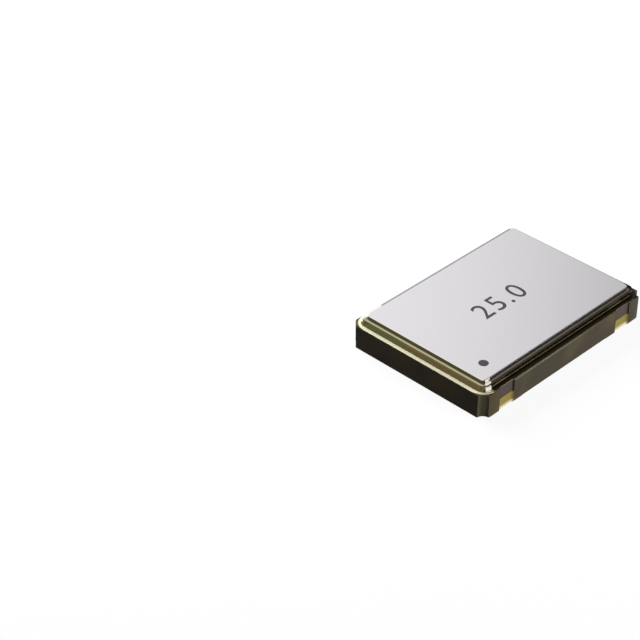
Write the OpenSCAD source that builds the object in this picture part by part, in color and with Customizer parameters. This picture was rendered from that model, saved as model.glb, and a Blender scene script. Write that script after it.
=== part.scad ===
// Surface-mount crystal oscillator in a seam-welded multilayer ceramic package.
// Frame: X along the long side, Y along the short side, Z up, with the solder face of the terminals at Z = 0.
// Terminal 1 is at -X, -Y, and the numbers run anticlockwise seen from above.

/* [Ceramic base] */
// Length of the ceramic base
body_l = 7.0; // [6.6:0.1:7.6]
// Width of the ceramic base
body_w = 5.0; // [4.7:0.1:5.6]
// Thickness of the floor layer
floor_t = 0.18; // [0.14:0.01:0.26]
// Thickness of the layer that carries the bond fingers
tier_t = 0.16; // [0.12:0.01:0.22]
// Thickness of the layer that carries the crystal
shelf_t = 0.20; // [0.16:0.01:0.28]
// Thickness of the top layer, which makes the wall of the cavity
wall_t = 0.20; // [0.16:0.01:0.30]
// Radius of the quarter-round notch at each corner
notch_r = 0.22; // [0.14:0.01:0.28]

/* [Terminals] */
// Length of a terminal pad along the long side
pad_l = 1.40; // [1.1:0.05:1.6]
// Width of a terminal pad, from the long side inwards
pad_w = 1.20; // [0.9:0.05:1.4]
// Thickness of the terminal pads
pad_t = 0.020; // [0.015:0.005:0.04]
// Distance from the short side to the pads
pad_setback = 0.26; // [0.22:0.01:0.4]
// Cut across the inner corner of the pad of terminal 1
pad_cut = 0.40; // [0.2:0.05:0.6]
// Length of the recess in the long side at each terminal
recess_l = 0.60; // [0.4:0.05:0.8]
// Depth of that recess
recess_d = 0.06; // [0.04:0.01:0.1]
// Thickness of the plating in the recess
plating_t = 0.015; // [0.01:0.005:0.03]

/* [Seal] */
// Setback of the metal band from the edge of the ceramic
band_setback = 0.02; // [0.01:0.01:0.06]
// Corner radius of the metal band
band_r = 0.48; // [0.36:0.02:0.7]
// How far the band runs in past the seal ring, towards the cavity
band_margin = 0.04; // [0.02:0.01:0.08]
// Thickness of every printed and plated metal layer
metal_t = 0.012; // [0.01:0.002:0.02]
// Thickness of the braze under the ring
braze_t = 0.018; // [0.012:0.002:0.03]
// Width of the braze fillet at the foot of the ring
fillet_w = 0.045; // [0.02:0.005:0.06]
// Height of that fillet above the metal band
fillet_h = 0.08; // [0.04:0.01:0.12]
// Setback of the seal ring from the edge of the ceramic
ring_setback = 0.19; // [0.14:0.01:0.24]
// Distance from the edge of the cavity to the inside of the ring
ring_ledge = 0.10; // [0.06:0.01:0.16]
// Height of the seal ring
ring_h = 0.17; // [0.12:0.01:0.24]
// Corner radius of the seal ring outside
ring_r = 0.20; // [0.14:0.01:0.4]
// Corner radius of the seal ring inside
ring_inner_r = 0.25; // [0.15:0.05:0.35]
// Radius of the ring's upper outer edge
ring_edge_r = 0.020; // [0.01:0.005:0.04]

/* [Lid] */
// Thickness of the lid
lid_t = 0.075; // [0.06:0.005:0.12]
// Setback of the lid from the edge of the seal ring
lid_setback = 0.135; // [0.1:0.005:0.2]
// Corner radius of the lid
lid_r = 0.12; // [0.08:0.01:0.3]
// Radius of the lid's upper edge
lid_edge_r = 0.015; // [0.01:0.005:0.03]

/* [Cavity] */
// Width of the wall round the cavity
wall_w = 0.72; // [0.66:0.02:0.8]
// Corner radius of the cavity and its steps
cavity_r = 0.15; // [0.08:0.01:0.2]
// Length of the crystal shelf at the held end of the crystal
shelf_l = 0.88; // [0.8:0.02:1.0]
// Width of the shelf along each long side
side_shelf_w = 0.43; // [0.3:0.01:0.5]
// Length of the pocket for the chip
pocket_l = 1.80; // [1.6:0.05:1.9]
// Width of the pocket for the chip
pocket_w = 1.60; // [1.4:0.05:1.7]
// Length of the tier between the crystal shelf and the pocket
tier_l = 1.15; // [1.0:0.05:1.2]

/* [Conductors] */
// Width of the printed tracks and bond fingers
track_w = 0.20; // [0.12:0.01:0.26]
// Gap between the pocket and the tip of each finger
finger_gap = 0.08; // [0.04:0.01:0.12]
// Distance of the outer fingers from the middle of the pocket
finger_x = 0.62; // [0.45:0.01:0.7]
// Distance of the two crystal fingers from the middle line
crystal_finger_y = 0.35; // [0.25:0.01:0.45]
// Distance of the buried runs from the long side
run_setback = 0.55; // [0.45:0.01:0.6]
// Diameter of the metal posts through the ceramic
post_d = 0.12; // [0.08:0.01:0.16]

/* [Chip] */
// Length of the chip
die_l = 1.30; // [1.1:0.05:1.4]
// Width of the chip
die_w = 1.00; // [0.8:0.05:1.1]
// Thickness of the chip
die_t = 0.12; // [0.08:0.01:0.15]
// Thickness of the adhesive under the chip
attach_t = 0.020; // [0.01:0.005:0.03]
// How far that adhesive runs out past the chip
attach_margin = 0.05; // [0.02:0.01:0.08]
// How far the gold paddle runs out past the chip
paddle_margin = 0.15; // [0.1:0.01:0.18]
// Side of a bond pad on the chip
bond_pad = 0.09; // [0.07:0.01:0.12]
// Distance from the chip's edge to the middle of a bond pad
bond_pad_inset = 0.10; // [0.07:0.01:0.14]
// Thickness of a bond pad
bond_pad_t = 0.006; // [0.004:0.001:0.01]
// Distance of the two crystal bond pads from the middle line
crystal_bond_y = 0.18; // [0.14:0.01:0.24]
// Diameter of the bond wire
wire_d = 0.025; // [0.018:0.001:0.032]
// Rise of the wire loop
loop_h = 0.09; // [0.06:0.01:0.11]

/* [Crystal] */
// Length of the quartz blank
blank_l = 4.40; // [4.2:0.1:4.8]
// Width of the quartz blank
blank_w = 1.90; // [1.6:0.1:2.2]
// Thickness of the quartz blank
blank_t = 0.070; // [0.05:0.005:0.09]
// Gap between the cavity wall and the held end of the blank
blank_gap = 0.26; // [0.2:0.01:0.3]
// Distance from the ends of the blank to the electrodes
electrode_end = 1.00; // [0.8:0.05:1.2]
// Distance from the sides of the blank to the electrodes
electrode_side = 0.30; // [0.24:0.01:0.4]
// Thickness of the electrode film
electrode_t = 0.006; // [0.004:0.001:0.01]
// Width of the electrode's lead to its corner
lead_w = 0.36; // [0.32:0.01:0.4]
// Margin of that lead from the side of the blank
lead_margin = 0.05; // [0.02:0.01:0.1]
// Distance from the blank's edges to the middle of each adhesive dot
dot_inset = 0.14; // [0.1:0.01:0.18]
// Radius of the adhesive dots at the foot
dot_r = 0.27; // [0.22:0.01:0.3]
// Radius of the adhesive dots at the top
dot_top_r = 0.20; // [0.16:0.01:0.22]
// Thickness of the adhesive under the blank
dot_gap = 0.030; // [0.02:0.005:0.05]
// Thickness of the adhesive over the blank
dot_cap = 0.030; // [0.02:0.005:0.05]
// Margin of each land round its adhesive dot
land_margin = 0.03; // [0.01:0.01:0.05]
// Length of the support pillow along the blank
pillow_l = 0.20; // [0.14:0.02:0.26]
// Width of the support pillow across the blank
pillow_w = 1.20; // [0.8:0.1:1.4]
// Distance from the free end of the blank to the pillow's middle
pillow_inset = 0.16; // [0.14:0.01:0.24]
// Clearance between the pillow and the blank
pillow_clearance = 0.012; // [0.008:0.002:0.02]
// Margin of the shelf round the pillow
pillow_margin = 0.07; // [0.04:0.01:0.1]

/* [Hidden] */
$fn = 48;
wire_sides = 6;
wire_steps = 8;
post_sides = 12;
edge_steps = 4;

// Levels, from the solder face up
z_base = pad_t;
z_floor = z_base + floor_t;
z_tier = z_floor + tier_t;
z_shelf = z_tier + shelf_t;
z_top = z_shelf + wall_t;
z_braze = z_top + metal_t;
z_ring = z_braze + braze_t;
z_lid = z_ring + ring_h;
z_attach = z_floor + metal_t;
z_die = z_attach + attach_t;
z_bond = z_die + die_t;
z_finger = z_tier + metal_t;
z_land = z_shelf + metal_t;
z_blank = z_land + dot_gap + electrode_t;

// Places that several pieces share
pad_x = body_l/2 - pad_setback - pad_l/2;
recess_y = body_w/2 - recess_d;
run_y = body_w/2 - run_setback;
ring_l = body_l - 2*ring_setback;
ring_w = body_w - 2*ring_setback;
cavity_l = body_l - 2*wall_w;
cavity_w = body_w - 2*wall_w;
blank_x0 = -cavity_l/2 + blank_gap;
blank_x1 = blank_x0 + blank_l;
land_x = blank_x0 + dot_inset;
land_y = blank_w/2 - dot_inset;
land_side = 2*(dot_r + land_margin);
pillow_x = blank_x1 - pillow_inset;
tier_x0 = -cavity_l/2 + shelf_l;
tier_x1 = pillow_x - pillow_l/2 - pillow_margin;
tier_w = cavity_w - 2*side_shelf_w;
pocket_x = tier_x0 + tier_l + pocket_l/2;
finger_y = pocket_w/2 + finger_gap + track_w/2;
crystal_finger_x = pocket_x - pocket_l/2 - finger_gap - track_w/2;
crystal_turn_x = (tier_x0 + crystal_finger_x)/2 - track_w;
ring_post_y = (run_y + recess_y)/2;

// Side of the body that each terminal lies on: [along X, along Y]
function side(pin) = [pin == 1 || pin == 4 ? -1 : 1, pin <= 2 ? -1 : 1];

// Shapes that several pieces share -------------------------------------------------------------

// A rectangle with round corners, centred on the origin
module rounded_rect(l, w, r) {
    square([l - 2*r, w], center = true);
    square([l, w - 2*r], center = true);
    for (x = [-1, 1], y = [-1, 1])
        translate([x*(l/2 - r), y*(w/2 - r)]) circle(r);
}

// Section of a plate's edge band, r wide and t high, with its upper outer edge rounded to e
module rounded_section(r, t, e) {
    arc = [for (i = [0:edge_steps]) let (a = 90*i/edge_steps) [r - e + e*cos(a), t - e + e*sin(a)]];
    polygon(concat([[0, 0], [r, 0]], arc, [[0, t]]));
}

// Section of a band with a hollow fillet w wide and h high outside the radius r
module fillet_section(r, w, h) {
    arc = [for (i = [0:edge_steps]) let (a = 90*i/edge_steps) [r + w - w*sin(a), h - h*cos(a)]];
    polygon(concat([[0, 0]], arc, [[0, h]]));
}

// A plate t high whose edge band has the given section, swept round corners of radius r
module swept_plate(l, w, r, t) {
    inner_l = l - 2*r;
    inner_w = w - 2*r;
    translate([-inner_l/2, -inner_w/2, 0]) cube([inner_l, inner_w, t]);
    for (turn = [0, 1, 2, 3]) {
        run = turn % 2 == 0 ? inner_w : inner_l;
        out = turn % 2 == 0 ? inner_l : inner_w;
        rotate([0, 0, 90*turn]) translate([out/2, run/2, 0]) {
            rotate([90, 0, 0]) linear_extrude(run) children();
            rotate_extrude(angle = 90) children();
        }
    }
}

// The recess of one terminal, about the middle of the body's edge, shrunk all round by inset
module recess_shape(inset) {
    half = recess_l/2 - recess_d;
    r = recess_d - inset;
    translate([-half, -r]) square([2*half, 2*r]);
    for (x = [-half, half]) translate([x, 0]) circle(r);
}

// Moves a shape drawn for the +X, +Y terminal to the terminal named
module at_terminal(pin) {
    s = side(pin);
    mirror([s[0] < 0 ? 1 : 0, 0, 0]) mirror([0, s[1] < 0 ? 1 : 0, 0]) children();
}

// Outline of the ceramic, with its corner notches and side recesses
module body_shape() {
    difference() {
        square([body_l, body_w], center = true);
        for (pin = [1:4]) at_terminal(pin) {
            translate([body_l/2, body_w/2]) circle(notch_r);
            translate([pad_x, body_w/2]) recess_shape(0);
        }
    }
}

// A track of one width along points joined by straight runs parallel to X or Y
module track(points) {
    for (i = [1:len(points) - 1]) {
        a = points[i - 1];
        b = points[i];
        low = [min(a[0], b[0]) - track_w/2, min(a[1], b[1]) - track_w/2];
        translate(low) square([abs(a[0] - b[0]) + track_w, abs(a[1] - b[1]) + track_w]);
    }
}

// The last runs of a conductor: along the body and out to the recess of a terminal
function run_out(pin) = let (s = side(pin)) [
    [s[0]*pad_x, s[1]*run_y],
    [s[0]*pad_x, s[1]*(recess_y - track_w/2)]];

// Place of the outer finger that serves a terminal
function finger(pin) = let (s = side(pin)) [pocket_x + s[0]*finger_x, s[1]*finger_y];

// A post through the ceramic layers
module post(h) {
    cylinder(h = h, d = post_d, $fn = post_sides);
}

// Ceramic base and terminals -------------------------------------------------------------------

module cavity() {
    translate([0, 0, z_shelf]) linear_extrude(wall_t + 1) rounded_rect(cavity_l, cavity_w, cavity_r);
    translate([(tier_x0 + tier_x1)/2, 0, z_tier])
        linear_extrude(shelf_t + 0.01) rounded_rect(tier_x1 - tier_x0, tier_w, cavity_r);
    translate([pocket_x, 0, z_floor])
        linear_extrude(tier_t + 0.01) rounded_rect(pocket_l, pocket_w, cavity_r);
}

module ceramic_base() {
    color([0.13, 0.12, 0.10]) difference() {
        translate([0, 0, z_base]) linear_extrude(z_top - z_base) body_shape();
        cavity();
        die_paddle();
        for (pin = [1:4]) terminal_trace(pin);
        for (s = [-1, 1]) crystal_trace(s);
        crystal_vias();
        ring_ground_via();
    }
}

module terminal(pin) {
    color([0.93, 0.86, 0.66]) at_terminal(pin) {
        linear_extrude(pad_t) difference() {
            translate([pad_x - pad_l/2, body_w/2 - pad_w]) square([pad_l, pad_w]);
            translate([pad_x, body_w/2]) recess_shape(plating_t);
            if (pin == 1) pad_corner();
        }
        translate([pad_x, body_w/2, 0]) linear_extrude(z_finger) difference() {
            recess_shape(0);
            recess_shape(plating_t);
            translate([-recess_l, 0]) square([2*recess_l, body_w]);
        }
    }
}

// The corner cut off the pad of terminal 1, on the side of the package's middle
module pad_corner() {
    translate([pad_x - pad_l/2, body_w/2 - pad_w])
        polygon([[-pad_cut, -pad_cut], [pad_cut, -pad_cut], [pad_cut, 0], [0, pad_cut], [-pad_cut, pad_cut]]);
}

// Seal -------------------------------------------------------------------------------------------

module seal_metallisation() {
    hole_l = ring_l - 2*ring_band() - 2*band_margin;
    hole_w = ring_w - 2*ring_band() - 2*band_margin;
    color([0.90, 0.85, 0.68]) translate([0, 0, z_top]) linear_extrude(metal_t) difference() {
        intersection() {
            body_shape();
            rounded_rect(body_l - 2*band_setback, body_w - 2*band_setback, band_r);
        }
        rounded_rect(hole_l, hole_w, ring_inner_r);
    }
}

// Width of the seal ring's metal, from the wall of the cavity out to the ring's setback
function ring_band() = wall_w - ring_setback - ring_ledge;

// The opening of the ring, which the braze shares
module ring_opening() {
    rounded_rect(ring_l - 2*ring_band(), ring_w - 2*ring_band(), ring_inner_r);
}

module braze_fillet() {
    foot = 2*fillet_w;
    color([0.72, 0.66, 0.45]) translate([0, 0, z_braze]) difference() {
        swept_plate(ring_l, ring_w, ring_r, fillet_h) fillet_section(ring_r, fillet_w, fillet_h);
        translate([0, 0, braze_t]) linear_extrude(foot) rounded_rect(ring_l, ring_w, ring_r);
        translate([0, 0, -foot]) linear_extrude(fillet_h + 2*foot) ring_opening();
    }
}

module seal_ring() {
    color([0.62, 0.60, 0.48]) translate([0, 0, z_ring]) difference() {
        swept_plate(ring_l, ring_w, ring_r, ring_h) rounded_section(ring_r, ring_h, ring_edge_r);
        translate([0, 0, -ring_h]) linear_extrude(3*ring_h) ring_opening();
    }
}

module lid() {
    color([0.84, 0.83, 0.84]) translate([0, 0, z_lid])
        swept_plate(ring_l - 2*lid_setback, ring_w - 2*lid_setback, lid_r, lid_t)
            rounded_section(lid_r, lid_t, lid_edge_r);
}

// Conductors -------------------------------------------------------------------------------------

// A bond finger on the tier and its buried run to the recess of its terminal
module terminal_trace(pin) {
    tip = finger(pin);
    color("gold") translate([0, 0, z_tier]) linear_extrude(metal_t)
        track(concat([tip, [tip[0], side(pin)[1]*run_y]], run_out(pin)));
}

// A finger that leads to one end of the crystal, s = -1 or 1
module crystal_trace(s) {
    color("gold") translate([0, 0, z_tier]) linear_extrude(metal_t) track([
        [crystal_finger_x, s*crystal_finger_y],
        [crystal_turn_x, s*crystal_finger_y],
        [crystal_turn_x, s*land_y],
        [land_x, s*land_y]]);
}

module crystal_vias() {
    color("dimgray") for (s = [-1, 1]) translate([land_x, s*land_y, z_finger]) post(z_shelf - z_finger);
}

module ring_ground_via() {
    color("dimgray") translate([pad_x, -ring_post_y, z_finger]) post(z_top - z_finger);
}

module crystal_lands() {
    color("gold") for (s = [-1, 1]) translate([land_x, s*land_y, z_shelf + metal_t/2])
        cube([land_side, land_side, metal_t], center = true);
}

// Chip -------------------------------------------------------------------------------------------

module die_paddle() {
    strip_x = pocket_x + die_l/2 - track_w;
    color("gold") translate([0, 0, z_floor]) linear_extrude(metal_t) {
        translate([pocket_x, 0]) square([die_l + 2*paddle_margin, die_w + 2*paddle_margin], center = true);
        track(concat([[strip_x, 0], [strip_x, -run_y]], run_out(2)));
    }
}

module die_attach() {
    color("silver") translate([pocket_x, 0, z_attach + attach_t/2])
        cube([die_l + 2*attach_margin, die_w + 2*attach_margin, attach_t], center = true);
}

module oscillator_die() {
    color("slategray") translate([pocket_x, 0, z_die + die_t/2]) cube([die_l, die_w, die_t], center = true);
}

// Places of the six bond pads on the chip, and of the finger that each one is wired to
function bond_points() = concat(
    [for (pin = [1:4]) let (s = side(pin))
        [pocket_x + s[0]*(die_l/2 - bond_pad_inset), s[1]*(die_w/2 - bond_pad_inset)]],
    [for (s = [-1, 1]) [pocket_x - die_l/2 + bond_pad_inset, s*crystal_bond_y]]);
function finger_points() = concat(
    [for (pin = [1:4]) finger(pin)],
    [for (s = [-1, 1]) [crystal_finger_x, s*crystal_finger_y]]);

module die_bond_pads() {
    color("gainsboro") for (p = bond_points()) translate([p[0], p[1], z_bond + bond_pad_t/2])
        cube([bond_pad, bond_pad, bond_pad_t], center = true);
}

// A wire loop from a bond pad to a finger, with its ball and its flattened stitch
module bond_wire(from, to) {
    ball_r = 1.4*wire_d;
    ball_h = 0.8*wire_d;
    stitch = 3*wire_d;
    reach = norm(to - from);
    heading = atan2(to[1] - from[1], to[0] - from[0]);
    z0 = z_bond + bond_pad_t;
    drop = z_finger + wire_d/2 - z0 - ball_h/2;
    translate([from[0], from[1], z0]) {
        cylinder(h = ball_h, r = ball_r, $fn = post_sides);
        rotate([0, 0, heading]) wire_loop(reach, ball_h/2, drop);
    }
    translate([to[0], to[1], z_finger]) rotate([0, 0, heading])
        translate([-stitch/2, -0.7*wire_d, 0]) cube([stitch, 1.4*wire_d, 0.7*wire_d]);
}

// The loop itself, in the X, Z plane: it starts at height z, spans reach and ends lower or higher by drop
module wire_loop(reach, z, drop) {
    function at(t) = [reach*t, z + drop*t + 4*loop_h*t*(1 - t)];
    function slope(t) = atan2(drop + 4*loop_h*(1 - 2*t), reach);
    rings = [for (i = [0:wire_steps], k = [0:wire_sides - 1])
        let (t = i/wire_steps, p = at(t), tilt = slope(t), a = 360*k/wire_sides)
        [p[0] - wire_d/2*sin(a)*sin(tilt), wire_d/2*cos(a), p[1] + wire_d/2*sin(a)*cos(tilt)]];
    sides = [for (i = [0:wire_steps - 1], k = [0:wire_sides - 1])
        let (n = (k + 1) % wire_sides, low = i*wire_sides, high = low + wire_sides)
        [low + k, high + k, high + n, low + n]];
    start = [for (k = [0:wire_sides - 1]) k];
    finish = [for (k = [wire_sides - 1:-1:0]) wire_steps*wire_sides + k];
    polyhedron(rings, concat(sides, [start, finish]));
}

module bond_wires() {
    starts = bond_points();
    ends = finger_points();
    color("goldenrod") for (i = [0:len(starts) - 1]) bond_wire(starts[i], ends[i]);
}

// Crystal ----------------------------------------------------------------------------------------

module quartz_blank() {
    color([0.80, 0.88, 0.90]) translate([blank_x0, -blank_w/2, z_blank]) cube([blank_l, blank_w, blank_t]);
}

// An electrode film with its lead to one corner of the held end, s = -1 or 1
module electrode_film(z, s) {
    middle = (blank_x0 + blank_x1)/2;
    lead_l = middle - blank_x0;
    lead_y = s*(blank_w/2 - lead_margin - lead_w/2);
    color("lightgray") translate([0, 0, z]) linear_extrude(electrode_t) {
        translate([middle, 0]) square([blank_l - 2*electrode_end, blank_w - 2*electrode_side], center = true);
        translate([blank_x0, lead_y - lead_w/2]) square([lead_l, lead_w]);
    }
}

module electrode_top() {
    electrode_film(z_blank + blank_t, 1);
}

module electrode_bottom() {
    electrode_film(z_blank - electrode_t, -1);
}

module crystal_adhesive() {
    dot_h = dot_gap + 2*electrode_t + blank_t + dot_cap;
    color([0.55, 0.55, 0.52]) for (s = [-1, 1]) difference() {
        translate([land_x, s*land_y, z_land]) cylinder(h = dot_h, r1 = dot_r, r2 = dot_top_r, $fn = post_sides);
        quartz_blank();
        electrode_top();
        electrode_bottom();
    }
}

module support_pillow() {
    pillow_h = z_blank - electrode_t - pillow_clearance - z_shelf;
    color("dimgray") translate([pillow_x, 0, z_shelf + pillow_h/2])
        cube([pillow_l, pillow_w, pillow_h], center = true);
}

ceramic_base();
terminal(1);  // terminal_1
terminal(2);  // terminal_2
terminal(3);  // terminal_3
terminal(4);  // terminal_4
seal_metallisation();
braze_fillet();
seal_ring();
lid();
die_paddle();
die_attach();
oscillator_die();
die_bond_pads();
terminal_trace(1);  // enable_trace
terminal_trace(2);  // ground_trace
terminal_trace(3);  // output_trace
terminal_trace(4);  // supply_trace
crystal_trace(-1);  // crystal_trace_a
crystal_trace(1);  // crystal_trace_b
crystal_vias();
ring_ground_via();
crystal_lands();
support_pillow();
crystal_adhesive();
quartz_blank();
electrode_top();
electrode_bottom();
bond_wires();
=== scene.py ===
import bmesh
import bpy
import math
from mathutils import Matrix, Vector


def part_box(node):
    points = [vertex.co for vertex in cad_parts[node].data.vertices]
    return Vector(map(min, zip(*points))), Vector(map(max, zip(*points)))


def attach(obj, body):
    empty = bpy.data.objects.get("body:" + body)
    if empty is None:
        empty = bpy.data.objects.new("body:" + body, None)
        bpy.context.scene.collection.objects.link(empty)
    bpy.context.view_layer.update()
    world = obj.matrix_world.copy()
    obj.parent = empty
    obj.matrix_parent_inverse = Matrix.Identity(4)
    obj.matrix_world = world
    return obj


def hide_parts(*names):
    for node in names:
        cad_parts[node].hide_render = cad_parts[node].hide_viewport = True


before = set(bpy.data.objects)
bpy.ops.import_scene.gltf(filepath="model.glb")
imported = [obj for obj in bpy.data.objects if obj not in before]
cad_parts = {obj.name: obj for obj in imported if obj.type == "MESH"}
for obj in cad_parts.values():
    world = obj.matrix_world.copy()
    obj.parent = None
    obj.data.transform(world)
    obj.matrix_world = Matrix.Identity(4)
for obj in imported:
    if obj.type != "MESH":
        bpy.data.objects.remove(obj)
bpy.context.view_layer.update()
mm = 0.001
tiny = 1e-6  # nothing on the part is as small as this
belowPart, abovePart = -mm, 2 * mm  # a tool that cuts right through runs from one to the other
smoothDeg = 35  # gentler corners than this are shaded smooth
breakDeg = 40  # sharper corners than this get a small round
print("frame loaded:", len(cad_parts), "nodes")


def selectOnly(piece):
    bpy.ops.object.select_all(action="DESELECT")
    piece.select_set(True)
    bpy.context.view_layer.objects.active = piece


def addBlock(name, low, high):
    bpy.ops.object.select_all(action="DESELECT")
    bpy.ops.mesh.primitive_cube_add(size=1, location=(Vector(low) + Vector(high)) / 2)
    block = bpy.context.object
    block.name = name
    block.scale = Vector(high) - Vector(low)
    bpy.ops.object.transform_apply(location=True, rotation=True, scale=True)
    return block


def bevelWhere(piece, wanted, width, segments):
    # rounds the edges whose two ends pass the test
    selectOnly(piece)
    bpy.ops.object.mode_set(mode="EDIT")
    bpy.ops.mesh.select_mode(type="EDGE")
    bpy.ops.mesh.select_all(action="DESELECT")
    mesh = bmesh.from_edit_mesh(piece.data)
    for edge in mesh.edges:
        edge.select_set(wanted(edge.verts[0].co, edge.verts[1].co))
    bmesh.update_edit_mesh(piece.data)
    bpy.ops.mesh.bevel(offset=width, segments=segments, profile=0.5, affect="EDGES", clamp_overlap=False)
    bpy.ops.object.mode_set(mode="OBJECT")


def isUpright(a, b):
    return abs(a.z - b.z) > tiny and abs(a.x - b.x) < tiny and abs(a.y - b.y) < tiny


def addRoundedBlock(name, low, high, radius, segments):
    block = addBlock(name, low, high)
    bevelWhere(block, isUpright, radius, segments)
    return block


def roundRim(piece, height, width, segments):
    # rounds the outline of the flat face at this height
    bevelWhere(piece, lambda a, b: abs(a.z - height) < tiny and abs(b.z - height) < tiny, width, segments)


def combine(piece, tool, operation):
    change = piece.modifiers.new("shape", "BOOLEAN")
    change.operation = operation
    change.solver = "EXACT"
    change.object = tool
    selectOnly(piece)
    bpy.ops.object.modifier_apply(modifier="shape")
    bpy.data.objects.remove(tool)


def breakEdges(piece, width, segments):
    # the small round that every real edge has
    change = piece.modifiers.new("edges", "BEVEL")
    change.width = width
    change.segments = segments
    change.limit_method = "ANGLE"
    change.angle_limit = math.radians(breakDeg)
    change.use_clamp_overlap = False
    change.harden_normals = False
    selectOnly(piece)
    bpy.ops.object.modifier_apply(modifier="edges")


def finishPiece(piece, material, nodes=()):
    selectOnly(piece)
    bpy.ops.object.shade_smooth_by_angle(angle=math.radians(smoothDeg))
    change = piece.modifiers.new("normals", "WEIGHTED_NORMAL")
    change.keep_sharp = True
    bpy.ops.object.modifier_apply(modifier="normals")
    piece.data.materials.clear()
    piece.data.materials.append(material)
    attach(piece, "root")
    if nodes:
        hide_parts(*nodes)


def linear(hexCode):
    parts = [int(hexCode[i:i + 2], 16) / 255 for i in (0, 2, 4)]
    return [p / 12.92 if p <= 0.04045 else ((p + 0.055) / 1.055) ** 2.4 for p in parts] + [1]


def addNode(tree, kind, inputs=None, **settings):
    node = tree.nodes.new(kind)
    for name, value in settings.items():
        setattr(node, name, value)
    for name, value in (inputs or {}).items():
        if isinstance(value, bpy.types.NodeSocket):
            tree.links.new(value, node.inputs[name])
        else:
            node.inputs[name].default_value = value
    return node


# what the grain of every surface shares: its noise, the stretch of it that counts, and its bump where the
# look names none
grainLook = {"detail": 4.0, "roughness": 0.6, "low": 0.3, "high": 0.7, "bump": 0.5}


def grainedMaterial(name, look):
    # look: dark and pale colour, grain size, metallic, roughness range, bump height, further sockets
    material = bpy.data.materials.new(name)
    material.use_nodes = True
    tree = material.node_tree
    shader = tree.nodes["Principled BSDF"]
    place = addNode(tree, "ShaderNodeTexCoord").outputs["Object"]
    grain = addNode(tree, "ShaderNodeTexNoise", {
        "Vector": place, "Scale": 1 / (look["grainMm"] * mm), "Detail": grainLook["detail"],
        "Roughness": grainLook["roughness"]}).outputs["Fac"]
    tone = addNode(tree, "ShaderNodeMix", {
        0: grain, 6: linear(look["dark"]), 7: linear(look["pale"])}, data_type="RGBA")
    rough = addNode(tree, "ShaderNodeMapRange", {
        "Value": grain, "From Min": grainLook["low"], "From Max": grainLook["high"],
        "To Min": look["rough"][0], "To Max": look["rough"][1]})
    relief = addNode(tree, "ShaderNodeBump", {
        "Height": grain, "Distance": look["bumpMm"] * mm, "Strength": look.get("bump", grainLook["bump"])})
    tree.links.new(tone.outputs[2], shader.inputs["Base Color"])
    tree.links.new(rough.outputs["Result"], shader.inputs["Roughness"])
    tree.links.new(relief.outputs["Normal"], shader.inputs["Normal"])
    shader.inputs["Metallic"].default_value = look["metallic"]
    for socket, value in look.get("sockets", {}).items():
        shader.inputs[socket].default_value = value
    return material, tree, shader, place


baseLow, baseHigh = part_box("ceramic_base")
ringLow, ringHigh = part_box("seal_ring")
lidLow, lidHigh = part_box("lid")
padX = sum(corner.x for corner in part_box("terminal_3")) / 2
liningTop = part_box("terminal_3")[1].z
zeroToOne = (0.0, 1.0)  # the ramp for what is an amount already


def paintOver(tree, shader, value, ramp, hexCode, *places):
    # lays a colour over what is there: none at the ramp's first value, all of it at the second, and
    # only in the places given; returns how much of it there is
    amount = addNode(tree, "ShaderNodeMapRange", {"Value": value, "From Min": ramp[0], "From Max": ramp[1]},
                     interpolation_type="SMOOTHSTEP").outputs["Result"]
    for place in places:
        amount = addNode(tree, "ShaderNodeMath", {0: amount, 1: place}, operation="MULTIPLY").outputs[0]
    under = shader.inputs["Base Color"].links[0].from_socket
    over = addNode(tree, "ShaderNodeMix", {0: amount, 6: under, 7: linear(hexCode)}, data_type="RGBA")
    tree.links.new(over.outputs[2], shader.inputs["Base Color"])
    return amount


def pastRectangle(tree, place, halfX, halfY):
    # how far a point lies past each side of a rectangle: x past the short sides, y past the long ones
    size = addNode(tree, "ShaderNodeVectorMath", {0: place}, operation="ABSOLUTE")
    past = addNode(tree, "ShaderNodeVectorMath", {0: size.outputs["Vector"], 1: (halfX, halfY, 0)},
                   operation="SUBTRACT")
    return addNode(tree, "ShaderNodeSeparateXYZ", {"Vector": past.outputs["Vector"]}).outputs


def alongPart(tree, place):
    # how far along the part a point lies, from the short side nearest the dot, in metres
    x = addNode(tree, "ShaderNodeSeparateXYZ", {"Vector": place}).outputs["X"]
    return addNode(tree, "ShaderNodeMath", {0: x, 1: baseLow.x}, operation="SUBTRACT").outputs[0]


# the painted light and shade down the long side next to the dot: where along each piece it starts and is
# full, and how far in from the side it goes
sideLightingReach = {
    "ring": (0.29 * mm, 0.37 * mm), "band": (0.38 * mm, 0.52 * mm), "lid": (0.38 * mm, 0.46 * mm),
    "fadeIn": 0.62 * mm, "fullIn": 0.50 * mm}


def sideLightingMask(tree, place, ramp):
    # 1 down the long side next to the dot, from a point along each piece, where its light and shade are
    # painted, and 0 elsewhere
    onward = addNode(tree, "ShaderNodeMapRange", {
        "Value": alongPart(tree, place), "From Min": ramp[0], "From Max": ramp[1]}).outputs["Result"]
    y = addNode(tree, "ShaderNodeSeparateXYZ", {"Vector": place}).outputs["Y"]
    thisSide = addNode(tree, "ShaderNodeMapRange", {
        "Value": y, "From Min": baseLow.y + sideLightingReach["fadeIn"],
        "From Max": baseLow.y + sideLightingReach["fullIn"]}).outputs["Result"]
    return addNode(tree, "ShaderNodeMath", {0: onward, 1: thisSide}, operation="MULTIPLY").outputs[0]
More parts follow.
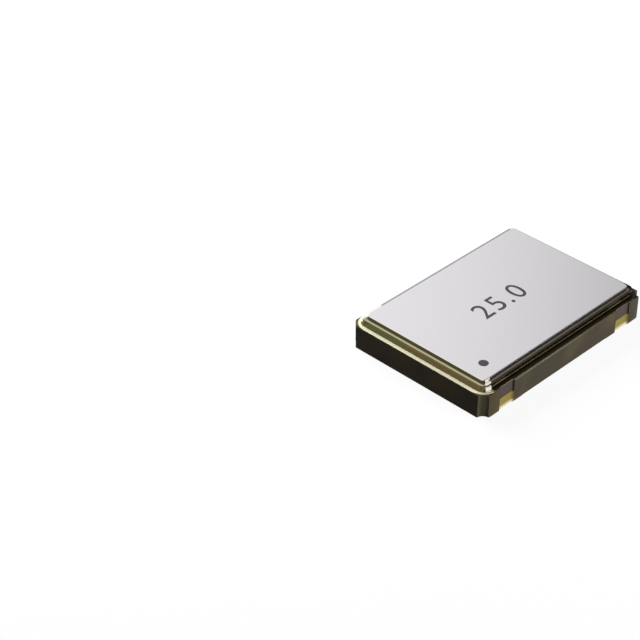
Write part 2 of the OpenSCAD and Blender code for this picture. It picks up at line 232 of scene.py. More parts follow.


# the painted highlight streaks down the first two corners, with how far along the part there is still one;
# turn is how far a streak sits round its corner towards the long side, half is half its width, and reach is
# how far in from the sides of its piece it may go
cornerHighlight = {
    "colour": "FFF9EC", "metallic": 0.4, "noneFrom": 3 * mm, "allUpTo": mm,
    "cornerFade": 0.02 * mm, "sideFade": 0.03 * mm,
    "lid": {"reach": 0.28 * mm, "turn": 0.16 * mm, "half": 0.08 * mm},
    "ring": {"reach": 0.34 * mm, "turn": 0.18 * mm, "half": 0.10 * mm},
    "braze": {"reach": 0.36 * mm, "turn": 0.20 * mm, "half": 0.10 * mm}}


def paintCornerHighlights(tree, shader, place, high, streak, *places):
    # paints bright highlight streaks down the first two corners
    past = pastRectangle(tree, place, high.x - streak["reach"], high.y - streak["reach"])
    inBoth = addNode(tree, "ShaderNodeMath", {0: past["X"], 1: past["Y"]}, operation="MINIMUM").outputs[0]
    onCorner = addNode(tree, "ShaderNodeMapRange", {
        "Value": inBoth, "From Min": 0, "From Max": cornerHighlight["cornerFade"]}).outputs["Result"]
    atStart = addNode(tree, "ShaderNodeMapRange", {
        "Value": alongPart(tree, place), "From Min": cornerHighlight["noneFrom"],
        "From Max": cornerHighlight["allUpTo"]}).outputs["Result"]
    apart = addNode(tree, "ShaderNodeMath", {0: past["Y"], 1: past["X"]}, operation="SUBTRACT").outputs[0]
    apart = addNode(tree, "ShaderNodeMath", {0: apart, 1: streak["turn"]}, operation="SUBTRACT").outputs[0]
    apart = addNode(tree, "ShaderNodeMath", {0: apart}, operation="ABSOLUTE").outputs[0]
    edge = (streak["half"] + cornerHighlight["sideFade"], streak["half"])
    amount = paintOver(tree, shader, apart, edge, cornerHighlight["colour"], onCorner, atStart, *places)
    # the painted streaks are made less metallic, so the lamps light them too
    highlightMetallic = addNode(tree, "ShaderNodeMapRange", {
        "Value": amount, "To Min": shader.inputs["Metallic"].default_value,
        "To Max": cornerHighlight["metallic"]}).outputs["Result"]
    tree.links.new(highlightMetallic, shader.inputs["Metallic"])


# in the looks below, a pair of lengths says where a tint or its place begins and where it is full

# Dark alumina, co-fired in tape layers: brown-black, matte, with a fine sintered grain
alumina = {
    "dark": "35302A", "pale": "4C463A", "grainMm": 0.05, "metallic": 0.0, "rough": (0.55, 0.72),
    "bumpMm": 0.004, "bump": 0.35, "sockets": {"Specular IOR Level": 0.05},
    "blotch": "554C38", "blotchMm": 1.6, "blotchNoise": (0.45, 0.75),
    "underside": (0.02 * mm, 0.08 * mm), "underneath": 0.2,
    "recess": "4E4540", "recessIn": (-0.02 * mm, -0.045 * mm), "recessEnds": (0.32 * mm, 0.30 * mm),
    "recessLimit": (-0.08 * mm, -0.07 * mm),
    "farEnd": "45433F", "farEndAlong": (6.4 * mm, 6.8 * mm),
    "nearEnd": "4A4231", "nearEndAlong": (0.70 * mm, 0.66 * mm), "pastShortSide": (0.03 * mm, 0.06 * mm),
    "notch": "4C4838", "notchSquare": 0.23 * mm, "notchEdge": (0.0, 0.01 * mm),
    "notchTurn": "877E67", "notchTurns": (-0.05 * mm, 0.20 * mm),
    "edge": "948C78", "edgeWidth": 0.032 * mm, "edgeFull": 0.006 * mm, "topFace": 0.001 * mm,
    "edgeStarts": (0.5 * mm, 1.5 * mm), "edgeHighlightFades": (3.0 * mm, 5.0 * mm), "highlightLeft": 0.1}


def makeAlumina():
    look = alumina
    material, tree, shader, place = grainedMaterial("coFiredAlumina", look)
    z = addNode(tree, "ShaderNodeSeparateXYZ", {"Vector": place}).outputs["Z"]
    along = alongPart(tree, place)
    blotch = addNode(tree, "ShaderNodeTexNoise", {
        "Vector": place, "Scale": 1 / (look["blotchMm"] * mm), "Detail": 2.0}).outputs["Fac"]
    offUnderside = addNode(tree, "ShaderNodeMapRange", {
        "Value": z, "From Min": look["underside"][0], "From Max": look["underside"][1],
        "To Min": look["underneath"]}).outputs["Result"]
    paintOver(tree, shader, blotch, look["blotchNoise"], look["blotch"], offUnderside)

    # the fired-in print leaves a purple-brown cast in the recesses
    past = pastRectangle(tree, place, padX, baseHigh.y)
    fromPad = addNode(tree, "ShaderNodeMath", {0: past["X"]}, operation="ABSOLUTE").outputs[0]
    nearPad = addNode(tree, "ShaderNodeMapRange", {
        "Value": fromPad, "From Min": look["recessEnds"][0],
        "From Max": look["recessEnds"][1]}).outputs["Result"]
    notDeep = addNode(tree, "ShaderNodeMapRange", {
        "Value": past["Y"], "From Min": look["recessLimit"][0],
        "From Max": look["recessLimit"][1]}).outputs["Result"]
    paintOver(tree, shader, past["Y"], look["recessIn"], look["recess"], nearPad, notDeep)

    # the far end is greyer, and the end next to terminal 1 browner, up to its recess
    paintOver(tree, shader, along, look["farEndAlong"], look["farEnd"])
    offShortSide = addNode(tree, "ShaderNodeMapRange", {
        "Value": along, "From Min": look["pastShortSide"][0],
        "From Max": look["pastShortSide"][1]}).outputs["Result"]
    paintOver(tree, shader, along, look["nearEndAlong"], look["nearEnd"], offShortSide, offUnderside)

    # painted light: the notches are painted paler, most where they meet the long sides
    square = look["notchSquare"]
    past = pastRectangle(tree, place, baseHigh.x - square, baseHigh.y - square)
    inBoth = addNode(tree, "ShaderNodeMath", {0: past["X"], 1: past["Y"]}, operation="MINIMUM").outputs[0]
    inNotch = paintOver(tree, shader, inBoth, look["notchEdge"], look["notch"])
    turn = addNode(tree, "ShaderNodeMath", {0: past["Y"], 1: past["X"]}, operation="SUBTRACT").outputs[0]
    paintOver(tree, shader, turn, look["notchTurns"], look["notchTurn"], inNotch)

    # a painted highlight along the upper edge of the long sides, weaker towards the far end
    edgeFull = baseHigh.z - look["edgeFull"]
    belowTop = addNode(tree, "ShaderNodeMapRange", {
        "Value": z, "From Min": baseHigh.z - look["topFace"], "From Max": edgeFull}).outputs["Result"]
    started = addNode(tree, "ShaderNodeMapRange", {
        "Value": along, "From Min": look["edgeStarts"][0],
        "From Max": look["edgeStarts"][1]}).outputs["Result"]
    highlightFading = addNode(tree, "ShaderNodeMapRange", {
        "Value": along, "From Min": look["edgeHighlightFades"][0], "From Max": look["edgeHighlightFades"][1],
        "To Min": 1.0, "To Max": look["highlightLeft"]}).outputs["Result"]
    edgeHighlightBand = (baseHigh.z - look["edgeWidth"], edgeFull)
    paintOver(tree, shader, z, edgeHighlightBand, look["edge"], belowTop, started, highlightFading)
    return material


# Matte electroplated gold over nickel on printed tungsten: pale yellow, soft sheen
terminalGold = {
    "dark": "CDBF94", "pale": "EFE5C6", "grainMm": 0.03, "metallic": 0.5, "rough": (0.38, 0.52),
    "bumpMm": 0.002, "thin": "8C7C30", "thinHeight": (0.03 * mm, 0.14 * mm)}


def makeTerminalGold():
    look = terminalGold
    material, tree, shader, place = grainedMaterial("electroplatedGold", look)
    z = addNode(tree, "ShaderNodeSeparateXYZ", {"Vector": place}).outputs["Z"]
    # up the recess the plating is thin and olive
    paintOver(tree, shader, z, look["thinHeight"], look["thin"])
    return material


# The same plating on the seal band, lapped flat in the firing, with painted shade down the long side next to
# the dot
bandLook = {
    "dark": "E9E2BC", "pale": "FAF5D9", "grainMm": 0.03, "metallic": 0.3, "rough": (0.30, 0.42),
    "bumpMm": 0.002, "sockets": {"Specular IOR Level": 0.3},
    "paintedSideLight": "302713", "paintedEndShade": "161006", "paintedEndShadeAlong": (6.35 * mm, 6.60 * mm),
    "paintedRimLight": "7A745E", "paintedRimLightIn": (-0.013 * mm, -0.005 * mm)}


def makeBandGold():
    look = bandLook
    material, tree, shader, place = grainedMaterial("bandGoldPlate", look)
    # painted shade down the long side next to the dot, darkest at the last corner, and a painted lit line
    # along its outer rim there
    paintedSideLight = sideLightingMask(tree, place, sideLightingReach["band"])
    paintOver(tree, shader, paintedSideLight, zeroToOne, look["paintedSideLight"])
    paintOver(tree, shader, alongPart(tree, place), look["paintedEndShadeAlong"], look["paintedEndShade"], paintedSideLight)
    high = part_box("seal_metallisation")[1]
    pastY = pastRectangle(tree, place, high.x, high.y)["Y"]
    paintOver(tree, shader, pastY, look["paintedRimLightIn"], look["paintedRimLight"], paintedSideLight)
    return material


# Gold flash on the iron-nickel ring: olive on its side, cream on its top, browned by the weld next to the lid
ringLook = {
    "dark": "515133", "pale": "5F5E3D", "grainMm": 0.04, "metallic": 1.0, "rough": (0.16, 0.24),
    "bumpMm": 0.001,
    "warmSide": "655A3C", "warmY": (0.9 * mm, 0.4 * mm), "paintedSideTone": "382F20",
    "top": "B9B28E", "topFade": 0.015 * mm, "topFull": 0.003 * mm,
    "weld": "7C7B6C", "weldFade": 0.078 * mm, "weldFull": 0.062 * mm,
    "pastLid": (-0.01 * mm, 0.01 * mm), "farTopReflection": "F6F6F6",
    "farTopGreyReflection": "A3A2A8", "farTopGreyAlong": (1.0 * mm, 1.08 * mm), "endTopReflection": "DCDCD8",
    "paintedTopShade": "60584C", "paintedWeldGrey": "908A80", "paintedEndShade": "1C160C", "paintedEndShadeAlong": (6.55 * mm, 6.70 * mm),
    "rimTop": 0.05 * mm, "rimFoot": 0.07 * mm}


def makeRingFlash():
    look = ringLook
    material, tree, shader, place = grainedMaterial("goldFlashedRing", look)
    at = addNode(tree, "ShaderNodeSeparateXYZ", {"Vector": place}).outputs
    along = alongPart(tree, place)
    paintedSideLight = sideLightingMask(tree, place, sideLightingReach["ring"])
    paintOver(tree, shader, at["Y"], look["warmY"], look["warmSide"])
    # painted shade on the ring down the long side next to the dot
    paintOver(tree, shader, paintedSideLight, zeroToOne, look["paintedSideTone"])
    topBand = (ringHigh.z - look["topFade"], ringHigh.z - look["topFull"])
    onTop = paintOver(tree, shader, at["Z"], topBand, look["top"])
    past = pastRectangle(tree, place, lidHigh.x, lidHigh.y)
    pastLid = addNode(tree, "ShaderNodeMath", {0: past["X"], 1: past["Y"]}, operation="MAXIMUM").outputs[0]
    nextToLid = paintOver(tree, shader, pastLid, (look["weldFade"], look["weldFull"]), look["weld"], onTop)

    # painted reflection on the top of the far sides: white along the other long side at its start, grey
    # further along, and light along the far end
    away = addNode(tree, "ShaderNodeVectorMath", {0: place, 1: lidHigh}, operation="SUBTRACT")
    away = addNode(tree, "ShaderNodeSeparateXYZ", {"Vector": away.outputs["Vector"]}).outputs
    otherSide = paintOver(tree, shader, away["Y"], look["pastLid"], look["farTopReflection"], onTop)
    paintOver(tree, shader, along, look["farTopGreyAlong"], look["farTopGreyReflection"], otherSide)
    paintOver(tree, shader, away["X"], look["pastLid"], look["endTopReflection"], onTop)

    # painted shade on the top down the long side next to the dot, a lighter grey painted on the weld track
    # next to the lid there, and a darker painted shade at the last corner
    paintOver(tree, shader, paintedSideLight, zeroToOne, look["paintedTopShade"], onTop)
    paintOver(tree, shader, paintedSideLight, zeroToOne, look["paintedWeldGrey"], nextToLid)
    paintOver(tree, shader, along, look["paintedEndShadeAlong"], look["paintedEndShade"], paintedSideLight)

    # the painted highlight streak breaks at the ring's rim
    underRim = addNode(tree, "ShaderNodeMapRange", {
        "Value": at["Z"], "From Min": ringHigh.z - look["rimTop"],
        "From Max": ringHigh.z - look["rimFoot"]}).outputs["Result"]
    offRim = addNode(tree, "ShaderNodeMath", {0: onTop, 1: underRim}, operation="MAXIMUM").outputs[0]
    paintCornerHighlights(tree, shader, place, ringHigh, cornerHighlight["ring"], offRim)
    return material


# Silver-copper braze, drawn up to the ring as a small hollow fillet: glossy, olive under the gold flash
brazeLook = {
    "dark": "525234", "pale": "61603E", "grainMm": 0.03, "metallic": 1.0, "rough": (0.20, 0.30),
    "bumpMm": 0.001,
    "warmSide": "60563A", "paintedFootShade": "423820", "paintedSideLight": "8E8160", "paintedLightRise": 0.01 * mm,
    "paintedEndShade": "1C160C", "paintedEndShadeAlong": (6.50 * mm, 6.65 * mm)}


def makeBrazeAlloy():
    look = brazeLook
    material, tree, shader, place = grainedMaterial("silverCopperBraze", look)
    at = addNode(tree, "ShaderNodeSeparateXYZ", {"Vector": place}).outputs
    paintedSideLight = sideLightingMask(tree, place, sideLightingReach["ring"])
    middle = sum(corner.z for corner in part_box("braze_fillet")) / 2
    paintOver(tree, shader, at["Y"], ringLook["warmY"], look["warmSide"])
    # painted shade at the fillet's foot and a painted highlight line on its upper half, down the long side
    # next to the dot, and a darker painted shade at the last corner
    paintOver(tree, shader, paintedSideLight, zeroToOne, look["paintedFootShade"])
    paintOver(tree, shader, at["Z"], (middle - look["paintedLightRise"], middle), look["paintedSideLight"], paintedSideLight)
    paintOver(tree, shader, alongPart(tree, place), look["paintedEndShadeAlong"], look["paintedEndShade"], paintedSideLight)
    # painted highlight streaks down the first two corners
    paintCornerHighlights(tree, shader, place, ringHigh, cornerHighlight["braze"])
    return material


# Nickel plated on rolled iron-nickel strip: satin and almost neutral; its side is painted olive as shade,
# but down the long side next to the dot it is left bright
nickelLook = {
    "dark": "F0EDF0", "pale": "F4F1F4", "grainMm": 0.06, "metallic": 1.0, "rough": (0.29, 0.33),
    "bumpMm": 0.0006,
    "side": "918F62", "sideFade": 0.006 * mm, "sideFull": 0.014 * mm, "paintedSideTone": "F8F6F8"}


def makeSatinNickel():
    look = nickelLook
    material, tree, shader, place = grainedMaterial("satinNickelPlate", look)
    z = addNode(tree, "ShaderNodeSeparateXYZ", {"Vector": place}).outputs["Z"]
    # painted shade: the side below the top's round is painted olive, and left bright down the long side next
    # to the dot
    sideShadeBand = (lidHigh.z - look["sideFade"], lidHigh.z - look["sideFull"])
    onSide = paintOver(tree, shader, z, sideShadeBand, look["side"])
    paintedSideLight = sideLightingMask(tree, place, sideLightingReach["lid"])
    paintOver(tree, shader, paintedSideLight, zeroToOne, look["paintedSideTone"], onSide)
    # painted highlight streaks down the first two corners
    paintCornerHighlights(tree, shader, place, lidHigh, cornerHighlight["lid"], onSide)
    return material


# Laser-annealed mark: the nickel turned dark grey, with no gloss
markLook = {
    "dark": "3D3C3E", "pale": "4B4A4C", "grainMm": 0.03, "metallic": 0.1, "rough": (0.6, 0.75),
    "bumpMm": 0.001}

firedAlumina = makeAlumina()
goldPlate = makeTerminalGold()
bandGold = makeBandGold()
weldedRing = makeRingFlash()
brazeAlloy = makeBrazeAlloy()
satinNickel = makeSatinNickel()
annealedMark = grainedMaterial("laserAnnealedMark", markLook)[0]
print("materials made:", len(bpy.data.materials))


# the ceramic base, with its notches, recesses and cavity
base = {
    "notchRadius": 0.22 * mm, "notchSides": 64, "recessLength": 0.60 * mm, "recessDepth": 0.06 * mm,
    "recessSegments": 7, "wall": 0.72 * mm, "cavityRadius": 0.15 * mm, "cavitySegments": 4,
    "shelfX": (-1.90 * mm, 1.55 * mm), "tierWidth": 2.70 * mm,
    "pocketX": (-0.75 * mm, 1.05 * mm), "pocketWidth": 1.60 * mm, "edge": 0.012 * mm, "edgeSegments": 2}
almostHalfRound = 0.999  # a full half-round would leave sides of no length


def addRecessTool(name, x, y, inset, low, high):
    depth = base["recessDepth"] - inset
    half = Vector((base["recessLength"] / 2 - inset, depth, 0))
    start = Vector((x, y, low)) - half
    end = Vector((x, y, high)) + half
    return addRoundedBlock(name, start, end, depth * almostHalfRound, base["recessSegments"])


def cutRecesses(piece):
    for x in (-padX, padX):
        for y in (baseLow.y, baseHigh.y):
            combine(piece, addRecessTool("recess", x, y, 0, belowPart, abovePart), "DIFFERENCE")


def makeBase():
    body = addBlock("ceramicBase", baseLow, baseHigh)
    for x in (baseLow.x, baseHigh.x):
        for y in (baseLow.y, baseHigh.y):
            bpy.ops.object.select_all(action="DESELECT")
            bpy.ops.mesh.primitive_cylinder_add(
                vertices=base["notchSides"], radius=base["notchRadius"], depth=3 * baseHigh.z,
                location=(x, y, baseHigh.z / 2))
            combine(body, bpy.context.object, "DIFFERENCE")
    cutRecesses(body)
    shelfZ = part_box("crystal_lands")[0].z
    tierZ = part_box("enable_trace")[0].z
    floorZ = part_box("die_paddle")[0].z
    wall = base["wall"]
    steps = [
        (baseLow.x + wall, baseHigh.x - wall, baseHigh.y - wall, shelfZ),
        (*base["shelfX"], base["tierWidth"] / 2, tierZ),
        (*base["pocketX"], base["pocketWidth"] / 2, floorZ)]
    for x0, x1, y, z in steps:
        hollow = addRoundedBlock(
            "hollow", (x0, -y, z), (x1, y, abovePart), base["cavityRadius"], base["cavitySegments"])
        combine(body, hollow, "DIFFERENCE")
    breakEdges(body, base["edge"], base["edgeSegments"])
    finishPiece(body, firedAlumina, ["ceramic_base"])


makeBase()
print("ceramic base made")


# the four plated terminals
terminal = {
    "cornerRadius": 0.03 * mm, "cornerSegments": 3, "plating": 0.015 * mm, "cut": 0.40 * mm,
    "mergeWithin": 0.0005 * mm, "edge": 0.003 * mm, "edgeSegments": 1}


def makeTerminal(number, nodeName):
    low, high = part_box(nodeName)
    sideY = baseHigh.y if high.y > 0 else baseLow.y
    x = (low.x + high.x) / 2
    pad = addBlock("terminalPad" + str(number), low, (high.x, high.y, baseLow.z))
    innerX = min(abs(low.x), abs(high.x))
    innerY = min(abs(low.y), abs(high.y))

    def isInnerCorner(a, b):
        return isUpright(a, b) and abs(abs(a.x) - innerX) < tiny and abs(abs(a.y) - innerY) < tiny

    if number == 1:  # the cut corner marks terminal 1
        bevelWhere(pad, isInnerCorner, terminal["cut"], 1)
    bevelWhere(pad, isUpright, terminal["cornerRadius"], terminal["cornerSegments"])
    lining = addRecessTool("lining", x, sideY, 0, 0, liningTop)
    nearY, farY = sorted((sideY, sideY * 2))
    combine(lining, addBlock("outside", (x - mm, nearY, -mm), (x + mm, farY, mm)), "DIFFERENCE")
    combine(pad, lining, "UNION")
    hollow = addRecessTool("hollow", x, sideY, terminal["plating"], belowPart, abovePart)
    combine(pad, hollow, "DIFFERENCE")
    bpy.ops.object.mode_set(mode="EDIT")
    bpy.ops.mesh.select_all(action="SELECT")
    bpy.ops.mesh.remove_doubles(threshold=terminal["mergeWithin"])  # the cuts leave edges too short to bevel
    bpy.ops.object.mode_set(mode="OBJECT")
    breakEdges(pad, terminal["edge"], terminal["edgeSegments"])
    finishPiece(pad, goldPlate, [nodeName])


for number in (1, 2, 3, 4):
    makeTerminal(number, "terminal_" + str(number))
print("terminals made")


# the seal: metal band, braze and ring
seal = {
    "bandRadius": 0.48 * mm, "ringRadius": 0.20 * mm, "outerSegments": 16, "wall": 0.43 * mm,
    "openingRadius": 0.25 * mm, "openingSegments": 12, "bandMargin": 0.04 * mm,
    "bandEdge": 0.003 * mm, "bandEdgeSegments": 2, "ringEdge": 0.020 * mm, "ringEdgeSegments": 4,
    "filletRim": 0.05, "filletSteps": 5}  # filletRim is the share of the fillet's height that its rim has


def cutOpening(piece, outerLow, outerHigh, wall):
    inner = Vector((wall, wall, -mm))  # in from the sides, and out past the top and bottom
    opening = addRoundedBlock(
        "opening", outerLow + inner, outerHigh - inner, seal["openingRadius"], seal["openingSegments"])
    combine(piece, opening, "DIFFERENCE")


def makeBand():
    low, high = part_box("seal_metallisation")
    band = addRoundedBlock("sealBand", low, high, seal["bandRadius"], seal["outerSegments"])
    cutRecesses(band)
    cutOpening(band, low, high, ringLow.x - low.x + seal["wall"] + seal["bandMargin"])
    breakEdges(band, seal["bandEdge"], seal["bandEdgeSegments"])
    finishPiece(band, bandGold, ["seal_metallisation"])


def makeBraze():
    low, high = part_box("braze_fillet")
    reach = ringLow.x - low.x
    rise = high.z - low.z
    rim = seal["filletRim"] * rise
    slab = addRoundedBlock(
        "brazeFillet", low, (high.x, high.y, low.z + rim), seal["ringRadius"] + reach, seal["outerSegments"])
    bpy.ops.object.mode_set(mode="EDIT")
    bpy.ops.mesh.select_mode(type="FACE")
    bpy.ops.mesh.select_all(action="DESELECT")
    mesh = bmesh.from_edit_mesh(slab.data)
    for face in mesh.faces:
        face.select_set(face.normal.z > 0.99)  # the flat top
    bmesh.update_edit_mesh(slab.data)
    inAt, upAt = 0.0, rim
    # each inset also lifts the top, so the steps follow a hollow arc
    for step in range(1, seal["filletSteps"] + 1):
        angle = math.pi / 2 * step / seal["filletSteps"]
        inNow, upNow = reach * math.sin(angle), max(rise * (1 - math.cos(angle)), rim)
        bpy.ops.mesh.inset(thickness=inNow - inAt, depth=upNow - upAt)
        inAt, upAt = inNow, upNow
    bpy.ops.object.mode_set(mode="OBJECT")
    cutOpening(slab, low, high, reach + seal["wall"])
    finishPiece(slab, brazeAlloy, ["braze_fillet"])


def makeRing():
    low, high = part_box("seal_ring")
    ring = addRoundedBlock("sealRing", low, high, seal["ringRadius"], seal["outerSegments"])
    roundRim(ring, high.z, seal["ringEdge"], seal["ringEdgeSegments"])
    cutOpening(ring, low, high, seal["wall"])
    finishPiece(ring, weldedRing, ["seal_ring"])


makeBand()
makeBraze()
makeRing()
print("seal made")


# the lid and its mark
lid = {"radius": 0.12 * mm, "segments": 14, "edge": 0.015 * mm, "edgeSegments": 6}
mark = {
    "number": "25.0", "capHeight": 0.69 * mm, "spacing": 1.16, "centre": (-0.02 * mm, -0.035 * mm),
    "curveSteps": 6, "mergeWithin": 0.0001 * mm,
    "dotAt": (-2.56 * mm, -1.64 * mm), "dotRadius": 0.145 * mm, "dotSides": 40, "dotEdge": 0.001 * mm,
    "thickness": 0.004 * mm, "sunk": 0.002 * mm}
markZ = lidHigh.z + mark["thickness"] / 2 - mark["sunk"]  # the height of its middle


def makeLid():
    plate = addRoundedBlock("lidPlate", lidLow, lidHigh, lid["radius"], lid["segments"])
    roundRim(plate, lidHigh.z, lid["edge"], lid["edgeSegments"])
    finishPiece(plate, satinNickel, ["lid"])


def makeDot():
    bpy.ops.object.select_all(action="DESELECT")
    bpy.ops.mesh.primitive_cylinder_add(
        vertices=mark["dotSides"], radius=mark["dotRadius"], depth=mark["thickness"],
        location=(*mark["dotAt"], markZ))
    dot = bpy.context.object
    dot.name = "markDot"
    bpy.ops.object.transform_apply(location=True, rotation=True, scale=True)
    roundRim(dot, max(v.co.z for v in dot.data.vertices), mark["dotEdge"], 1)
    finishPiece(dot, annealedMark)


def makeNumber():
    bpy.ops.object.select_all(action="DESELECT")
    bpy.ops.object.text_add()
    word = bpy.context.object
    word.name = "markNumber"
    word.data.body = mark["number"]
    word.data.space_character = mark["spacing"]
    word.data.extrude = 0.5  # half to each side, so its scale sets its thickness
    word.data.resolution_u = mark["curveSteps"]
    selectOnly(word)
    bpy.ops.object.convert(target="MESH")
    word = bpy.context.object
    xs = [v.co.x for v in word.data.vertices]
    ys = [v.co.y for v in word.data.vertices]
    scale = mark["capHeight"] / (max(ys) - min(ys))
    centreX, centreY = mark["centre"]
    word.scale = (scale, scale, mark["thickness"])
    word.location = (
        centreX - scale * (max(xs) + min(xs)) / 2, centreY - scale * (max(ys) + min(ys)) / 2, markZ)
    bpy.ops.object.transform_apply(location=True, rotation=True, scale=True)
    bpy.ops.object.mode_set(mode="EDIT")
    bpy.ops.mesh.select_all(action="SELECT")
    bpy.ops.mesh.remove_doubles(threshold=mark["mergeWithin"])
    bpy.ops.mesh.normals_make_consistent(inside=False)
    bpy.ops.object.mode_set(mode="OBJECT")
    finishPiece(word, annealedMark)


makeLid()
makeDot()
makeNumber()
print("lid and mark made")


# the sealed inside keeps its solids and gets its materials
innerLooks = {
    # Thick-film gold on the tier and floor: warm, finely rough
    "thickFilmGold": {
        "nodes": ("die_paddle", "enable_trace", "ground_trace", "output_trace", "supply_trace",
                  "crystal_trace_a", "crystal_trace_b", "crystal_lands"),
        "dark": "C79F4A", "pale": "E3C271", "grainMm": 0.02, "metallic": 1.0, "rough": (0.35, 0.5),
        "bumpMm": 0.001},
    # Drawn gold wire, bright and smooth
    "drawnGoldWire": {
        "nodes": ("bond_wires",),
        "dark": "D9AE45", "pale": "EBCB74", "grainMm": 0.01, "metallic": 1.0, "rough": (0.18, 0.26),
        "bumpMm": 0.0003},
    # Diced silicon with its oxide colour, glossy
    "dicedSilicon": {
        "nodes": ("oscillator_die",),
        "dark": "3E4654", "pale": "566074", "grainMm": 0.06, "metallic": 0.4, "rough": (0.12, 0.2),
        "bumpMm": 0.0002},
    # Sputtered aluminium on the chip, pale and satin
    "sputteredAluminium": {
        "nodes": ("die_bond_pads",),
        "dark": "C9CACC", "pale": "DEDFE1", "grainMm": 0.01, "metallic": 1.0, "rough": (0.25, 0.35),
        "bumpMm": 0.0002},
    # Silver-filled adhesive, dull grey with visible flakes
    "silverFilledAdhesive": {
        "nodes": ("die_attach", "crystal_adhesive"),
        "dark": "83837E", "pale": "A8A8A2", "grainMm": 0.015, "metallic": 0.3, "rough": (0.5, 0.7),
        "bumpMm": 0.002},
    # Evaporated silver film on the crystal, a soft mirror
    "evaporatedSilver": {
        "nodes": ("electrode_top", "electrode_bottom"),
        "dark": "CFCECB", "pale": "E4E3E0", "grainMm": 0.02, "metallic": 1.0, "rough": (0.16, 0.24),
        "bumpMm": 0.0002},
    # Tungsten paste fired in the via holes, dark and granular
    "firedTungsten": {
        "nodes": ("crystal_vias", "ring_ground_via"),
        "dark": "5E5F62", "pale": "7B7C80", "grainMm": 0.015, "metallic": 0.8, "rough": (0.5, 0.65),
        "bumpMm": 0.001},
    # Alumina coat of the crystal's support pillow, matte grey-brown
    "aluminaCoat": {
        "nodes": ("support_pillow",),
        "dark": "5A554A", "pale": "6F695C", "grainMm": 0.03, "metallic": 0.0, "rough": (0.6, 0.75),
        "bumpMm": 0.002},
    # Lapped AT-cut quartz: clear, with a faint frost left by lapping
    "lappedQuartz": {
        "nodes": ("quartz_blank",),
        "dark": "E4ECEC", "pale": "F2F6F6", "grainMm": 0.02, "metallic": 0.0, "rough": (0.10, 0.22),
        "bumpMm": 0.0002, "sockets": {"Transmission Weight": 0.85, "IOR": 1.544}}}

for name, look in innerLooks.items():
    material = grainedMaterial(name, look)[0]
    for nodeName in look["nodes"]:
        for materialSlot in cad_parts[nodeName].material_slots:
            materialSlot.material = material
print("inner pieces finished:", sum(len(look["nodes"]) for look in innerLooks.values()))


# camera, floor and light
camera = {
    "atMm": (-34.791, -27.624, 31.978), "azimuthDeg": -134.969, "elevationDeg": 35.615, "rollDeg": -0.203,
    "lensMm": 106.58, "sensorMm": 36, "nearM": 0.001, "farM": 10}
lampAim = Vector((0, 0, 0.5 * mm))  # both lamps face the middle of the part
lamps = {  # azimuth, elevation and distance of each lamp, seen from there; its sides; its power
    "keyBackLeft": {
        "azimuthDeg": 92, "elevationDeg": 34, "distanceMm": 40, "wideMm": 24, "highMm": 24, "watts": 0.033},
    "lowFrontRight": {
        "azimuthDeg": -72, "elevationDeg": 13, "distanceMm": 50, "wideMm": 30, "highMm": 6, "watts": 0.0315}}
floorLook = {"side": 2.0, "paper": "F4F4F4", "bounce": "505050", "shine": "FFFFFF", "shadow": 0.08}
backdropLook = {
    "colour": "FFFFFF", "fill": 0.03, "dim": 0.09,
    "brightSideDeg": 136, "brightFrom": -0.07, "dimFrom": -0.30}


def direction(azimuthDeg, elevationDeg):
    azimuth, elevation = math.radians(azimuthDeg), math.radians(elevationDeg)
    level = math.cos(elevation)
    return Vector((level * math.cos(azimuth), level * math.sin(azimuth), math.sin(elevation)))


def addCamera():
    toCamera = direction(camera["azimuthDeg"], camera["elevationDeg"])
    bpy.ops.object.camera_add(location=Vector(camera["atMm"]) * mm)
    view = bpy.context.object
    aim = toCamera.to_track_quat("Z", "Y").to_matrix()
    view.rotation_euler = (aim @ Matrix.Rotation(math.radians(camera["rollDeg"]), 3, "Z")).to_euler()
    view.data.lens = camera["lensMm"]
    view.data.sensor_width = camera["sensorMm"]
    view.data.clip_start = camera["nearM"]
    view.data.clip_end = camera["farM"]
    bpy.context.scene.camera = view


def addLamps():
    for name, lamp in lamps.items():
        towards = direction(lamp["azimuthDeg"], lamp["elevationDeg"])
        bpy.ops.object.light_add(type="AREA", location=lampAim + towards * lamp["distanceMm"] * mm)
        light = bpy.context.object
        light.name = name
        light.rotation_euler = towards.to_track_quat("Z", "Y").to_euler()
        light.data.shape = "RECTANGLE"
        light.data.size = lamp["wideMm"] * mm
        light.data.size_y = lamp["highMm"] * mm
        light.data.energy = lamp["watts"]
        light.visible_glossy = False  # polished metal shows the backdrop, not the lamp


def seenDirectly(tree):
    # 1 for what the camera, a reflection or clear material sees, 0 for light that reaches the part
    path = addNode(tree, "ShaderNodeLightPath").outputs
    first = addNode(tree, "ShaderNodeMath", {
        0: path["Is Camera Ray"], 1: path["Is Glossy Ray"]}, operation="MAXIMUM").outputs[0]
    return addNode(tree, "ShaderNodeMath", {
        0: first, 1: path["Is Transmission Ray"]}, operation="MAXIMUM").outputs[0]


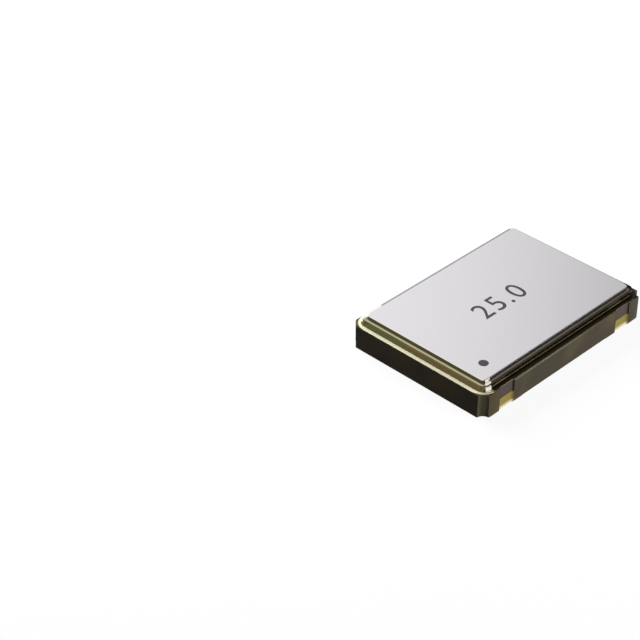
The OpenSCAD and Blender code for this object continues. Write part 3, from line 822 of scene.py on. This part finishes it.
def addFloor():
    bpy.ops.mesh.primitive_plane_add(size=floorLook["side"], location=(0, 0, 0))
    floor = bpy.context.object
    floor.name = "studioFloor"
    material = bpy.data.materials.new("whitePaperFloor")
    material.use_nodes = True
    tree = material.node_tree
    output = tree.nodes["Material Output"]
    tree.nodes.remove(tree.nodes["Principled BSDF"])
    paper = addNode(tree, "ShaderNodeBsdfDiffuse", {"Color": linear(floorLook["paper"])})
    shine = addNode(tree, "ShaderNodeEmission", {"Color": linear(floorLook["shine"]), "Strength": 1.0})
    seen = addNode(tree, "ShaderNodeMixShader", {
        0: 1 - floorLook["shadow"], 1: paper.outputs[0], 2: shine.outputs[0]})
    bounce = addNode(tree, "ShaderNodeBsdfDiffuse", {"Color": linear(floorLook["bounce"])})
    surface = addNode(tree, "ShaderNodeMixShader", {
        0: seenDirectly(tree), 1: bounce.outputs[0], 2: seen.outputs[0]})
    tree.links.new(surface.outputs[0], output.inputs["Surface"])
    floor.data.materials.append(material)


def addWorld():
    world = bpy.context.scene.world or bpy.data.worlds.new("studio")
    bpy.context.scene.world = world
    world.use_nodes = True
    tree = world.node_tree
    tree.nodes.clear()
    colour = linear(backdropLook["colour"])
    fill = addNode(tree, "ShaderNodeBackground", {"Color": colour, "Strength": backdropLook["fill"]})
    # the backdrop is white on the bright side and dims on the other
    towards = addNode(tree, "ShaderNodeTexCoord").outputs["Generated"]
    heading = addNode(tree, "ShaderNodeVectorMath", {
        0: towards, 1: direction(backdropLook["brightSideDeg"], 0)}, operation="DOT_PRODUCT")
    grade = addNode(tree, "ShaderNodeMapRange", {
        "Value": heading.outputs["Value"], "From Min": backdropLook["dimFrom"],
        "From Max": backdropLook["brightFrom"], "To Min": backdropLook["dim"], "To Max": 1.0},
        interpolation_type="SMOOTHSTEP")
    backdrop = addNode(tree, "ShaderNodeBackground", {"Color": colour, "Strength": grade.outputs["Result"]})
    mix = addNode(tree, "ShaderNodeMixShader", {
        0: seenDirectly(tree), 1: fill.outputs[0], 2: backdrop.outputs[0]})
    output = addNode(tree, "ShaderNodeOutputWorld")
    tree.links.new(mix.outputs[0], output.inputs["Surface"])


addCamera()
addLamps()
addFloor()
addWorld()
bpy.context.scene.view_settings.view_transform = "Standard"
print("studio set")
